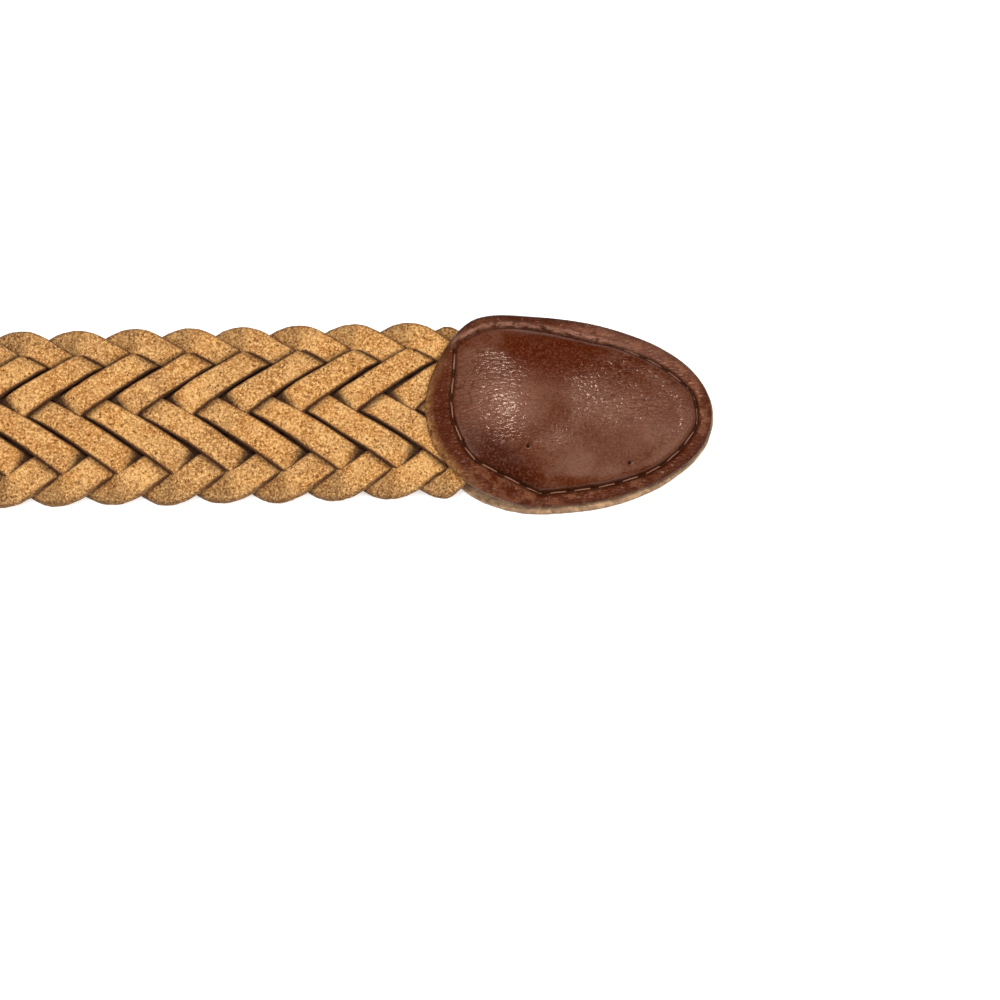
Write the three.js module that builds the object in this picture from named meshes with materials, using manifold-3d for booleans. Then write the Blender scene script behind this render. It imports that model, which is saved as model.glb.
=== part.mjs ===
import * as THREE from 'three';
import { mergeVertices } from 'three/addons/utils/BufferGeometryUtils.js';
import Module from 'manifold-3d';

// A flat nine-strand braided leather belt, laid straight with its broad face down.
// +X runs to the tip, +Y across the belt, +Z up. Lengths are in millimetres.

// The belt
const beltLength = 1000; // from the buckle's far side to the end of the tip
const bandWidth = 32; // over the peaks of the scallops
const bandThickness = 4.2;
const strandCount = 9;
const strandPitch = 10.4; // from one strand to the next along an edge
const strandThickness = 1.9;
const scallopDepth = 1.3;
const strandGroove = 0.55; // how far the dip between two strands goes down
const peakFromTip = 56.3; // from the end of the tip to the scallop peak beside it
const riseLength = 24; // the braid climbs onto the leather of its ends over this

// The leather tip
const tipLength = 54;
const tipWidth = 36.8;
const tipDrop = 2.2; // its round end lies this far off the belt's axis
const frontWall = 1.4;
const backWall = 1.4;
const backProud = 0.3; // the back shows this far past the front
const rimAtBraid = 4.1; // from the edge to the seam where the braid goes in
const rimAtSide = 2.9;
const rimAtEnd = 3.4;
const seamGroove = 0.4;
const crownRise = 0.8; // the middle of the dome above its height over the braid
const sewnThickness = 2.8; // the braid where the tip is sewn through it
const braidInTip = 41; // how far the braid reaches into the tip

// The buckle end
const chapeLength = 38; // from the buckle's bar to the end of the leather
const chapeWall = 1.6;
const buckleLength = 38;
const buckleWidth = 49;
const buckleCorner = 9; // at the frame's far side
const chapeRoom = 0.8; // from the leather's sides to the bends of the frame
const frameWire = 5.2; // across the frame in plan
const barDiameter = 4;
const prongWidth = 3.4;
const prongHeight = 2.6;
const prongRoom = 0.6; // each side of the prong in its slot

const gap = 0.3; // between pieces that touch on the real belt
const edgeRound = 0.25; // the broken corner of a cut leather edge

const leather = (color, roughness) => new THREE.MeshStandardMaterial({ color, roughness, metalness: 0 });
const laceTan = leather(0xc49458, 0.85);
const tipBrown = leather(0x7d4a2a, 0.4);
const backTan = leather(0xa97b4b, 0.8);
const chapeBrown = leather(0x7d4a2a, 0.5);
const brass = new THREE.MeshStandardMaterial({ color: 0x9c8354, roughness: 0.35, metalness: 1 });

const clamp = THREE.MathUtils.clamp;
const lerp = THREE.MathUtils.lerp;
const smoothstep = THREE.MathUtils.smoothstep;

function geometryOf(points, triangles) {
  const geometry = new THREE.BufferGeometry().setFromPoints(points);
  geometry.setIndex(triangles);
  geometry.computeVertexNormals();
  return geometry;
}

// Rings of equally many points, counterclockwise seen from the side they run to.
// A loop joins its last ring to its first; otherwise both ends are capped.
function skin(rings, isLoop = false) {
  const points = rings.flat();
  const triangles = [];
  const sides = rings[0].length;
  const spans = isLoop ? rings.length : rings.length - 1;
  for (let r = 0; r < spans; r++) {
    const here = r * sides;
    const there = ((r + 1) % rings.length) * sides;
    for (let i = 0; i < sides; i++) {
      const next = (i + 1) % sides;
      triangles.push(here + i, here + next, there + next);
      triangles.push(here + i, there + next, there + i);
    }
  }
  if (!isLoop) {
    const firstRing = rings[0].map((_, i) => i);
    const lastRing = firstRing.map((i) => (rings.length - 1) * sides + i);
    cap(points, triangles, firstRing, false);
    cap(points, triangles, lastRing, true);
  }
  return geometryOf(points, triangles);
}

// A fan from the middle of a ring of points, given by their indices.
function cap(points, triangles, ring, facesOn) {
  const middle = new THREE.Vector3();
  ring.forEach((index) => middle.addScaledVector(points[index], 1 / ring.length));
  const hub = points.push(middle) - 1;
  ring.forEach((index, k) => {
    const next = ring[(k + 1) % ring.length];
    triangles.push(...(facesOn ? [hub, index, next] : [hub, next, index]));
  });
}

const wasm = await Module();
wasm.setup();

function solidOf(geometry) {
  const bare = geometry.clone();
  bare.deleteAttribute('normal');
  bare.deleteAttribute('uv');
  const merged = mergeVertices(bare);
  return new wasm.Manifold(
    new wasm.Mesh({
      numProp: 3,
      vertProperties: new Float32Array(merged.attributes.position.array),
      triVerts: new Uint32Array(merged.index.array),
    }),
  );
}

function geometryOfSolid(solid) {
  const mesh = solid.getMesh();
  const geometry = new THREE.BufferGeometry();
  geometry.setAttribute('position', new THREE.BufferAttribute(mesh.vertProperties, 3));
  geometry.setIndex(new THREE.BufferAttribute(mesh.triVerts, 1));
  geometry.computeVertexNormals();
  return geometry;
}

// Places along the belt
const tipEndX = beltLength / 2 - backProud;
const tipStartX = tipEndX - tipLength;
const buckleEndX = -beltLength / 2;
const barRadius = barDiameter / 2;
const barX = buckleEndX + buckleLength - barRadius;
const foldInner = barRadius + gap;
const foldOuter = foldInner + chapeWall;
const chapeEndX = barX + chapeLength;

// Heights
const braidOverBack = backWall + gap;
const frontOverBraid = braidOverBack + sewnThickness + gap;
const frontOverBack = backWall + gap;
const barZ = chapeWall + foldInner;
const braidOverChape = chapeWall + gap;

// The tip's outline from the braid's side (along 0) to its round end (along 1), as shares
// of its length and of half its width. The other half mirrors it.
const eggOutline = [
  { along: 0, half: 0 },
  { along: 0.038, half: 0.41 },
  { along: 0.146, half: 0.845 },
  { along: 0.33, half: 0.995 },
  { along: 0.5, half: 0.975 },
  { along: 0.69, half: 0.865 },
  { along: 0.854, half: 0.65 },
  { along: 0.962, half: 0.36 },
  { along: 1, half: 0 },
];
const eggSides = 40;
const mirrored = eggOutline.slice(1, -1).reverse();
const eggCurve = new THREE.CatmullRomCurve3(
  [
    ...eggOutline.map(({ along, half }) => new THREE.Vector3(along, -half, 0)),
    ...mirrored.map(({ along, half }) => new THREE.Vector3(along, half, 0)),
  ],
  true,
);

// The tip's middle line slants off the belt's axis.
const tipMiddleY = (x) => (-tipDrop * (x - tipStartX)) / tipLength;

function eggRing(startX, length, halfWidth) {
  const ring = [];
  for (let i = 0; i < eggSides; i++) {
    const share = eggCurve.getPoint(i / eggSides);
    const x = startX + share.x * length;
    ring.push(new THREE.Vector2(x, tipMiddleY(x) + share.y * halfWidth));
  }
  return ring;
}

const seamStartX = tipStartX + rimAtBraid;
const seamLength = tipLength - rimAtBraid - rimAtEnd;
const seamHalf = tipWidth / 2 - rimAtSide;
const domeMiddle = 0.45; // as a share of the seam's length
const domeMiddleX = seamStartX + seamLength * domeMiddle;

// The front's underside: over the braid where it goes in, down on the back past it.
const stepStart = 0.16; // as shares of the tip's length
const stepEnd = 0.4;
function rimUnderZ(x) {
  const down = smoothstep((x - tipStartX) / tipLength, stepStart, stepEnd);
  return lerp(frontOverBraid, frontOverBack, down);
}

// The braid, one solid: nine strands that go over three and under three, and turn back
// at the edges. Depths across it count crossing rows from one edge's virtual apex.
const edgeDepth = 0.66; // how far the scallops' peaks stand past that apex
const rowSpacing = bandWidth / (strandCount + 2 * edgeDepth);
const edgeColumn = 1.5; // rows in the outer columns, which go one crossing deep
const columnMiddle = strandCount / 2;
const columnEnds = [edgeColumn, columnMiddle, strandCount - edgeColumn];
const shoulder = 0.7; // rows from a column's end to where its strands lie flat
const topDepths = [
  edgeColumn / 2,
  edgeColumn,
  edgeColumn + shoulder,
  columnMiddle - shoulder,
  columnMiddle,
  columnMiddle + shoulder,
  strandCount - edgeColumn - shoulder,
  strandCount - edgeColumn,
  strandCount - edgeColumn / 2,
];
const underDepths = [
  edgeColumn,
  (edgeColumn + columnMiddle) / 2,
  columnMiddle,
  strandCount - (edgeColumn + columnMiddle) / 2,
  strandCount - edgeColumn,
];
const halfPitch = strandPitch / 2;
const peakX = tipEndX - peakFromTip;
const lastHalf = Math.floor((tipStartX + braidInTip - peakX) / halfPitch);
const firstHalf = -Math.floor((peakX - (barX + foldOuter)) / halfPitch);
const bandStartX = peakX + firstHalf * halfPitch;
const bandEndX = peakX + lastHalf * halfPitch;
const fadeLength = 3.5 * strandPitch;
const columnDip = 0.8; // of the groove's depth, where one column's strands dive under the next
const quarterDips = [0, 0.3, 1]; // of the scallop's depth, at its peak, on its flank, in its valley

// The relief and the slant of the strands die out inside the leather at both ends.
function relief(station) {
  const fromEnd = Math.min(station - bandStartX, bandEndX - station);
  return smoothstep(fromEnd / fadeLength, 0, 1);
}

// How far a strand has moved along the belt, in half pitches, at a depth across it.
function slant(depth) {
  const [first, second, third] = columnEnds;
  if (depth < first) return depth;
  if (depth < second) return first - (depth - first);
  if (depth < third) return 2 * first - second + (depth - second);
  return strandCount - depth;
}

// How far the braid has come, from 0 to 1, to its height in the tip and in the chape.
const risenToTip = (x) => smoothstep((x - tipStartX) / riseLength, -1, 0);
const risenToChape = (x) => smoothstep((chapeEndX - x) / riseLength, -1, 0);

function bandBottomZ(x) {
  return braidOverBack * risenToTip(x) + braidOverChape * risenToChape(x);
}

function bandThicknessAt(x) {
  const towardsTip = lerp(bandThickness, sewnThickness, risenToTip(x));
  return lerp(towardsTip, 2 * foldInner - 2 * gap, risenToChape(x));
}

// Inside the tip the braid narrows to lie under the dome, with a round end.
const braidUnderDome = 0.7; // as a share of the seam's half width
const endRounding = 0.8; // 1 would bring the end to a point
const narrowFrom = 0.06; // as shares of the tip's length
const narrowTo = 0.24;
function bandHalfAt(x) {
  const inTip = (x - tipStartX) / tipLength;
  const towardsEnd = clamp((x - domeMiddleX) / (bandEndX - domeMiddleX), 0, 1);
  const roundedHalf = seamHalf * braidUnderDome * Math.sqrt(1 - endRounding * towardsEnd ** 2);
  return lerp(bandWidth / 2, roundedHalf, smoothstep(inTip, narrowFrom, narrowTo));
}

const bandMiddleY = (x) => (x > tipStartX ? tipMiddleY(x) : 0);

// A point of the band at a station and a depth, on its top or its underside.
function bandPoint(station, depth, isTop, isRidge) {
  const shown = relief(station);
  const shift = slant(depth) * halfPitch * shown * (isTop ? 1 : -1);
  const x = station + shift;
  const across = (strandCount / 2 - depth) / (strandCount / 2 + edgeDepth);
  const thickness = bandThicknessAt(x);
  const middleZ = bandBottomZ(x) + thickness / 2;
  const dipShare = columnEnds.includes(depth) ? columnDip : Number(!isRidge);
  const dip = dipShare * strandGroove * shown;
  const rise = thickness / 2 - dip;
  const y = bandMiddleY(x) + across * bandHalfAt(x);
  return new THREE.Vector3(x, y, middleZ + (isTop ? rise : -rise));
}

// An edge point stands a strand's thickness high and follows the scallops.
function edgePoint(station, side, isTop, dipShare) {
  const dip = scallopDepth * dipShare * relief(station);
  const half = bandHalfAt(station) - dip;
  const halfThickness = bandThicknessAt(station) / 2;
  const middleZ = bandBottomZ(station) + halfThickness;
  const rise = Math.min(strandThickness, halfThickness) / 2;
  const y = bandMiddleY(station) + side * half;
  return new THREE.Vector3(station, y, middleZ + (isTop ? rise : -rise));
}

function edgeRow(side, isTop) {
  const row = [];
  for (let step = 2 * firstHalf; step <= 2 * lastHalf; step++) {
    const station = peakX + (step * halfPitch) / 2;
    const phase = Math.abs(step % 4);
    const fromUpperPeak = Math.min(phase, 4 - phase);
    const fromPeak = side > 0 ? fromUpperPeak : 2 - fromUpperPeak;
    row.push({ step, point: edgePoint(station, side, isTop, quarterDips[fromPeak]) });
  }
  return row;
}

function innerRow(depth, isTop) {
  const [first, second, third] = columnEnds;
  const isOddColumn = depth < first || (depth > second && depth < third);
  const row = [];
  for (let half = firstHalf; half <= lastHalf; half++) {
    const isRidge = (half % 2 === 0) === isOddColumn;
    const point = bandPoint(peakX + half * halfPitch, depth, isTop, isRidge);
    row.push({ step: 2 * half, point });
  }
  return row;
}

// Rows run the length of the band, in order round its section. Each pair is joined by
// triangles that step along whichever row is behind.
function zipRows(rows) {
  const points = rows.flatMap((row) => row.map(({ point }) => point));
  const starts = rows.map((_, r) => rows.slice(0, r).flat().length);
  const triangles = [];
  rows.forEach((row, r) => {
    const other = (r + 1) % rows.length;
    const nextRow = rows[other];
    let i = 0;
    let j = 0;
    while (i < row.length - 1 || j < nextRow.length - 1) {
      const here = starts[r] + i;
      const there = starts[other] + j;
      const rowIsBehind =
        j === nextRow.length - 1 ||
        (i < row.length - 1 && row[i + 1].step <= nextRow[j + 1].step);
      if (rowIsBehind) {
        triangles.push(here, there, here + 1);
        i++;
      } else {
        triangles.push(here, there, there + 1);
        j++;
      }
    }
  });
  return { points, triangles, starts };
}

function makeBand() {
  const rows = [
    edgeRow(1, true),
    ...topDepths.map((depth) => innerRow(depth, true)),
    edgeRow(-1, true),
    edgeRow(-1, false),
    ...underDepths.toReversed().map((depth) => innerRow(depth, false)),
    edgeRow(1, false),
  ];
  const { points, triangles, starts } = zipRows(rows);
  const lastRing = rows.map((row, r) => starts[r] + row.length - 1);
  cap(points, triangles, starts, false);
  cap(points, triangles, lastRing, true);
  return new THREE.Mesh(geometryOf(points, triangles), laceTan);
}

// The front: a flat sewn rim round a dome, of one leather thickness throughout.
const domeLevels = [0.95, 0.87, 0.74, 0.52, 0.26]; // shares of the way out to the seam
const domeHeight = (share) => Math.sqrt(1 - share ** 4);
const lipShare = 0.7; // from the edge towards the seam

function frontProfile(edge, seam, middle) {
  const under = rimUnderZ(seam.x);
  const crown = frontOverBraid + crownRise;
  const at = (plan, z) => new THREE.Vector3(plan.x, plan.y, z + frontWall);
  const lip = edge.clone().lerp(seam, lipShare);
  const profile = [
    at(edge, rimUnderZ(edge.x)),
    at(lip, rimUnderZ(lip.x)),
    at(seam, under - seamGroove),
  ];
  for (const level of domeLevels) {
    const plan = middle.clone().lerp(seam, level);
    profile.push(at(plan, lerp(under, crown, domeHeight(level))));
  }
  return profile;
}

// The underside lies one leather thickness in from the top, square to it.
function insideOf(profile, middle) {
  return profile.map((point, k) => {
    if (k < 3) {
      const z = k === 2 ? point.z + seamGroove : point.z;
      return new THREE.Vector3(point.x, point.y, z - frontWall);
    }
    const before = profile[k - 1];
    const after = profile[k + 1] ?? new THREE.Vector3(middle.x, middle.y, point.z);
    const run = Math.hypot(after.x - before.x, after.y - before.y);
    const slope = Math.atan2(after.z - before.z, run);
    const inwards = new THREE.Vector2(middle.x - point.x, middle.y - point.y).normalize();
    const shift = frontWall * Math.sin(slope);
    return new THREE.Vector3(
      point.x + inwards.x * shift,
      point.y + inwards.y * shift,
      point.z - frontWall * Math.cos(slope),
    );
  });
}

function makeFront() {
  const edges = eggRing(tipStartX, tipLength, tipWidth / 2);
  const seams = eggRing(seamStartX, seamLength, seamHalf);
  const middle = new THREE.Vector2(domeMiddleX, tipMiddleY(domeMiddleX));
  const profiles = edges.map((edge, i) => frontProfile(edge, seams[i], middle));
  const insides = profiles.map((profile) => insideOf(profile, middle));
  const levels = profiles[0].length;
  const ringAt = (stack, level) => stack.map((profile) => profile[level]);
  const rings = [];
  for (let level = levels - 1; level >= 0; level--) rings.push(ringAt(insides, level));
  for (let level = 0; level < levels; level++) rings.push(ringAt(profiles, level));
  return new THREE.Mesh(skin(rings), tipBrown);
}

function makeBack() {
  const ringAt = (inset, z) => {
    const out = backProud - inset;
    const half = tipWidth / 2 + out;
    const ring = eggRing(tipStartX - out, tipLength + 2 * out, half);
    return ring.map(({ x, y }) => new THREE.Vector3(x, y, z));
  };
  const rings = [
    ringAt(edgeRound, 0),
    ringAt(0, edgeRound),
    ringAt(0, backWall - edgeRound),
    ringAt(edgeRound, backWall),
  ];
  return new THREE.Mesh(skin(rings), backTan);
}

// The leather that folds round the buckle's bar and holds the braid's other end.
function makeChape() {
  const profile = new THREE.Shape();
  profile.moveTo(chapeEndX, 0);
  profile.lineTo(chapeEndX, chapeWall);
  profile.lineTo(barX, chapeWall);
  profile.absarc(barX, barZ, foldInner, -Math.PI / 2, Math.PI / 2, true);
  profile.lineTo(chapeEndX, barZ + foldInner);
  profile.lineTo(chapeEndX, barZ + foldOuter);
  profile.lineTo(barX, barZ + foldOuter);
  profile.absarc(barX, barZ, foldOuter, Math.PI / 2, (3 * Math.PI) / 2, false);
  const folded = new THREE.ExtrudeGeometry(profile, {
    depth: bandWidth,
    bevelEnabled: false,
    curveSegments: 10,
  });
  folded.translate(0, 0, -bandWidth / 2).rotateX(Math.PI / 2);
  // The prong's slot opens the fold from the bar's underside up and over its top.
  const slotHeight = 2 * foldOuter;
  const slot = new THREE.BoxGeometry(3 * foldOuter, prongWidth + 2 * prongRoom, slotHeight);
  slot.translate(barX, 0, barZ - barRadius + slotHeight / 2);
  const cut = solidOf(folded).subtract(solidOf(slot));
  return new THREE.Mesh(geometryOfSolid(cut), chapeBrown);
}

const frameSides = 10;
const stepsPerCorner = 5;

// The frame in plan: a rounded rectangle whose side nearest the belt is the round bar.
function framePath() {
  const left = buckleEndX + frameWire / 2;
  const right = barX;
  const half = buckleWidth / 2 - frameWire / 2;
  const barBend = half - bandWidth / 2 - chapeRoom;
  const corners = [
    { x: right - barBend, y: half - barBend, bend: barBend, turn: 0 },
    { x: left + buckleCorner, y: half - buckleCorner, bend: buckleCorner, turn: 1 },
    { x: left + buckleCorner, y: -half + buckleCorner, bend: buckleCorner, turn: 2 },
    { x: right - barBend, y: -half + barBend, bend: barBend, turn: 3 },
  ];
  const stops = [];
  for (const corner of corners) {
    for (let step = 0; step <= stepsPerCorner; step++) {
      const angle = ((corner.turn + step / stepsPerCorner) * Math.PI) / 2;
      const x = corner.x + corner.bend * Math.cos(angle);
      const y = corner.y + corner.bend * Math.sin(angle);
      stops.push({ x, y, angle });
    }
  }
  return stops;
}

// The frame sinks from the bar, held up in its leather, to the surface at its far side.
function frameZ(x) {
  const away = clamp((barX - x) / (buckleLength - frameWire), 0, 1);
  return lerp(barZ, barRadius, smoothstep(away, 0, 1));
}

function makeBuckle() {
  const frameRings = framePath().map(({ x, y, angle }) => {
    const onBar = clamp((x - barX + barRadius) / barRadius, 0, 1);
    const across = lerp(frameWire / 2, barRadius, onBar);
    const ring = [];
    for (let i = 0; i < frameSides; i++) {
      const round = (i / frameSides) * 2 * Math.PI;
      const out = across * Math.cos(round);
      ring.push(
        new THREE.Vector3(
          x + out * Math.cos(angle),
          y + out * Math.sin(angle),
          frameZ(x) + barRadius * Math.sin(round),
        ),
      );
    }
    return ring.reverse();
  });
  const frame = solidOf(skin(frameRings, true));
  const prong = solidOf(skin(prongRings()));
  return new THREE.Mesh(geometryOfSolid(frame.add(prong)), brass);
}

// The prong leaves the top of the bar and lies on the frame's far side, fused to both.
const prongSides = 8;
const prongStations = 7;
const prongSunk = 0.2; // of its height, into the bar and the frame
const prongArch = 0.5; // of its height, at the middle of its run
const prongTaper = 0.75; // its far end's size against its near end's

function prongRings() {
  const farX = buckleEndX + frameWire / 3;
  const seat = prongHeight * (0.5 - prongSunk);
  const nearZ = barZ + barRadius - seat;
  const farZ = frameZ(farX) + barRadius + seat * prongTaper;
  const rings = [];
  for (let k = 0; k < prongStations; k++) {
    const share = k / (prongStations - 1);
    const x = lerp(barX, farX, share);
    const z = lerp(nearZ, farZ, share) + prongHeight * prongArch * Math.sin(Math.PI * share);
    const size = lerp(1, prongTaper, share) / 2;
    const ring = [];
    for (let i = 0; i < prongSides; i++) {
      const round = (i / prongSides) * 2 * Math.PI;
      const y = prongWidth * size * Math.cos(round);
      ring.push(new THREE.Vector3(x, y, z + prongHeight * size * Math.sin(round)));
    }
    rings.push(ring.reverse());
  }
  return rings;
}

const belt = new THREE.Group();
const pieces = {
  braid_band: makeBand(),
  tip_front: makeFront(),
  tip_back: makeBack(),
  buckle_chape: makeChape(),
  buckle: makeBuckle(),
};
for (const [name, mesh] of Object.entries(pieces)) {
  mesh.name = name;
  belt.add(mesh);
}

export default belt;
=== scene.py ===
import bpy
import bmesh
import math
import numpy as np
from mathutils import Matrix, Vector, noise


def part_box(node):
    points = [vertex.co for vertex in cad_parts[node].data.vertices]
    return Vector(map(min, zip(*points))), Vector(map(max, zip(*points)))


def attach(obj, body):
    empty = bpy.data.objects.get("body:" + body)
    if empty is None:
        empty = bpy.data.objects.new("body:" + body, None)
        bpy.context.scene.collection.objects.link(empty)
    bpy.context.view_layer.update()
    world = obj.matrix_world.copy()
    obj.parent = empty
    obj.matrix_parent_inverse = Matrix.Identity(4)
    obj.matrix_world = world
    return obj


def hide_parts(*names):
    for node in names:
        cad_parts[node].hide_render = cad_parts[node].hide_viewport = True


# A flat nine-lace leather belt lying on a pale floor. The picture shows its sewn leather tip
# and the braid beside it; the rest runs out of the picture on the left to a plain buckle.

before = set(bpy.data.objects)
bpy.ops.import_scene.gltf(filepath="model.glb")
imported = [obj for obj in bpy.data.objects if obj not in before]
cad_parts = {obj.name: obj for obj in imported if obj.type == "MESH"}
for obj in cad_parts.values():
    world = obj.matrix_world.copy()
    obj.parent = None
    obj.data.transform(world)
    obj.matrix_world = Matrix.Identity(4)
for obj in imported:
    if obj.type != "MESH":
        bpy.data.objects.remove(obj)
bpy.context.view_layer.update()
mm = 0.001
print("frame loaded")

tipLow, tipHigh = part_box("tip_front")
bandLow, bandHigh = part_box("braid_band")
chapeLow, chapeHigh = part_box("buckle_chape")
buckleLow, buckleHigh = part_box("buckle")
tipStart = tipLow.x
tipLength = tipHigh.x - tipLow.x


def smoothstep(value, low, high):
    share = min(max((value - low) / (high - low), 0.0), 1.0)
    return share * share * (3 - 2 * share)


def mix(a, b, share):
    return a + (b - a) * share


def bell(value, middle, width):
    return math.exp(-(((value - middle) / width) ** 2))


def signedPower(value, power):
    return math.copysign(abs(value) ** power, value)


# The camera and its place over the belt, from the photograph's pixels
picture = {
    "metresPerPixel": 0.187 * mm,
    "pixels": 1000,
    "tipEndPixel": (715.5, 420),
    "aimPixel": (500, 500),
    "axisPixelY": 406.5,  # the belt's middle line where the picture's middle column cuts it
    "elevation": 80,
    "turn": -1.15,  # degrees; the belt rises a little to the right
    "distance": 0.8,
    "aimHeight": 3 * mm,
}


def makeCamera():
    across = picture["metresPerPixel"] * picture["pixels"]
    data = bpy.data.cameras.new("camera")
    data.sensor_width = 36
    data.lens = 36 * picture["distance"] / across
    data.clip_start, data.clip_end = 0.01, 50
    camera = bpy.data.objects.new("camera", data)
    bpy.context.scene.collection.objects.link(camera)
    bpy.context.scene.camera = camera
    tilt = math.radians(90 - picture["elevation"])
    rightOfAim = picture["tipEndPixel"][0] - picture["aimPixel"][0]
    aimX = tipHigh.x - rightOfAim * picture["metresPerPixel"]
    aimY = -(picture["aimPixel"][1] - picture["axisPixelY"]) * picture["metresPerPixel"]
    camera.rotation_euler = (tilt, 0, math.radians(picture["turn"]))
    back = camera.rotation_euler.to_matrix() @ Vector((0, 0, 1))
    camera.location = Vector((aimX, aimY, picture["aimHeight"])) + back * picture["distance"]


makeCamera()


# Nodes and materials
def nodeMaterial(name):
    material = bpy.data.materials.new(name)
    material.use_nodes = True
    tree = material.node_tree
    return material, tree, tree.nodes["Principled BSDF"]


def newGroup(name, inputs, outputs):
    group = bpy.data.node_groups.new(name, "ShaderNodeTree")
    for socketName, kind, value in inputs:
        socket = group.interface.new_socket(name=socketName, in_out="INPUT", socket_type=kind)
        if value is not None:
            socket.default_value = value
    for socketName, kind in outputs:
        group.interface.new_socket(name=socketName, in_out="OUTPUT", socket_type=kind)
    return group, group.nodes.new("NodeGroupInput"), group.nodes.new("NodeGroupOutput")


def feed(tree, node, inputs):
    # each input gets a value, or a link from another node's output
    for name, value in inputs.items():
        if isinstance(value, bpy.types.NodeSocket):
            tree.links.new(value, node.inputs[name])
        else:
            node.inputs[name].default_value = value


def placeGroup(tree, group, inputs):
    node = tree.nodes.new("ShaderNodeGroup")
    node.node_tree = group
    feed(tree, node, inputs)
    return node


def maths(tree, operation, *values):
    node = tree.nodes.new("ShaderNodeMath")
    node.operation = operation
    feed(tree, node, dict(enumerate(values)))
    return node.outputs[0]


def mixColour(tree, share, first, second):
    node = tree.nodes.new("ShaderNodeMix")
    node.data_type = "RGBA"
    first, second = ((*value, 1) if isinstance(value, tuple) else value for value in (first, second))
    feed(tree, node, {0: share, 6: first, 7: second})
    return node.outputs[2]


def painted(tree, look, colour, coats):
    # each coat, a mask with its strength and a colour of the look, goes over the last
    for mask, strength, coat in coats:
        colour = mixColour(tree, maths(tree, "MULTIPLY", mask, strength), colour, look[coat])
    return colour


def spread(tree, value, low, high, outLow=0.0, outHigh=1.0):
    node = tree.nodes.new("ShaderNodeMapRange")
    node.interpolation_type = "SMOOTHSTEP"
    limits = {"From Min": low, "From Max": high, "To Min": outLow, "To Max": outHigh}
    feed(tree, node, {"Value": value, **limits})
    return node.outputs["Result"]


def noiseOf(tree, vector, scale, detail=3.0, roughness=0.55, distortion=0.0):
    node = tree.nodes.new("ShaderNodeTexNoise")
    feed(tree, node, {"Vector": vector, "Scale": scale, "Detail": detail})
    feed(tree, node, {"Roughness": roughness, "Distortion": distortion})
    return node.outputs["Fac"]


def objectPlace(tree):
    return tree.nodes.new("ShaderNodeTexCoord").outputs["Object"]


def vertexValue(tree, name):
    node = tree.nodes.new("ShaderNodeAttribute")
    node.attribute_name = name
    return node.outputs["Fac"]


def stretched(tree, vector, lengths, centre=(0, 0, 0), turn=0.0):
    # the pattern grows by these lengths along its own axes, which stand at this turn
    node = tree.nodes.new("ShaderNodeMapping")
    node.vector_type = "TEXTURE"
    feed(tree, node, {"Vector": vector, "Location": centre, "Scale": lengths})
    feed(tree, node, {"Rotation": (0, 0, math.radians(turn))})
    return node.outputs["Vector"]


def bumpFrom(tree, height, strength, distance):
    node = tree.nodes.new("ShaderNodeBump")
    feed(tree, node, {"Height": height, "Strength": strength, "Distance": distance})
    return node.outputs["Normal"]


def makeNapGroup():
    # brushed leather: pale and dark fibres, and the fuzz they stand up in
    group, into, out = newGroup(
        "suedeNap",
        [("Place", "NodeSocketVector", None), ("Fibre Scale", "NodeSocketFloat", 2300.0)],
        [("Pale", "NodeSocketFloat"), ("Dark", "NodeSocketFloat"), ("Fuzz", "NodeSocketFloat")],
    )
    place = into.outputs["Place"]
    scale = into.outputs["Fibre Scale"]
    fine = noiseOf(group, place, maths(group, "MULTIPLY", scale, 0.5), 4.0, 0.8, 0.2)
    coarse = noiseOf(group, place, maths(group, "MULTIPLY", scale, 0.22), 3.0, 0.7, 0.4)
    pale = spread(group, fine, 0.5, 0.62)
    patchy = spread(group, coarse, 0.62, 0.4, 0.3, 1.0)
    dark = maths(group, "MULTIPLY", spread(group, fine, 0.5, 0.4), patchy)
    fuzz = maths(group, "MULTIPLY_ADD", coarse, 0.6, fine)
    feed(group, out, {"Pale": pale, "Dark": dark, "Fuzz": fuzz})
    return group


def makeGrainGroup():
    # smooth leather: fine pebbles, and creases that run along the stretch of Place
    group, into, out = newGroup(
        "leatherGrain",
        [
            ("Place", "NodeSocketVector", None),
            ("Creased Place", "NodeSocketVector", None),
            ("Pebble Scale", "NodeSocketFloat", 1900.0),
            ("Crease Scale", "NodeSocketFloat", 900.0),
        ],
        [("Pebbles", "NodeSocketFloat"), ("Creases", "NodeSocketFloat")],
    )
    place, creasedPlace = into.outputs["Place"], into.outputs["Creased Place"]
    pebbleScale, creaseScale = into.outputs["Pebble Scale"], into.outputs["Crease Scale"]
    cells = group.nodes.new("ShaderNodeTexVoronoi")
    cells.feature = "F1"
    feed(group, cells, {"Vector": place, "Scale": pebbleScale})
    rounded = spread(group, cells.outputs["Distance"], 0.75, 0.1)
    soft = noiseOf(group, place, pebbleScale, 2.0, 0.5)
    sway = group.nodes.new("ShaderNodeTexNoise")
    feed(group, sway, {"Vector": creasedPlace, "Scale": maths(group, "MULTIPLY", creaseScale, 0.6)})
    swayed = group.nodes.new("ShaderNodeVectorMath")
    swayed.operation = "MULTIPLY_ADD"
    feed(group, swayed, {0: sway.outputs["Color"], 1: (0.9 * mm, 0.9 * mm, 0), 2: creasedPlace})
    plates = group.nodes.new("ShaderNodeTexVoronoi")
    plates.feature = "DISTANCE_TO_EDGE"
    feed(group, plates, {"Vector": swayed.outputs[0], "Scale": creaseScale})
    pebbles = maths(group, "MULTIPLY_ADD", soft, 0.7, rounded)
    creases = spread(group, plates.outputs["Distance"], 0.0, 0.24)
    feed(group, out, {"Pebbles": pebbles, "Creases": creases})
    return group


suedeNap = makeNapGroup()
leatherGrain = makeGrainGroup()


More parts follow.
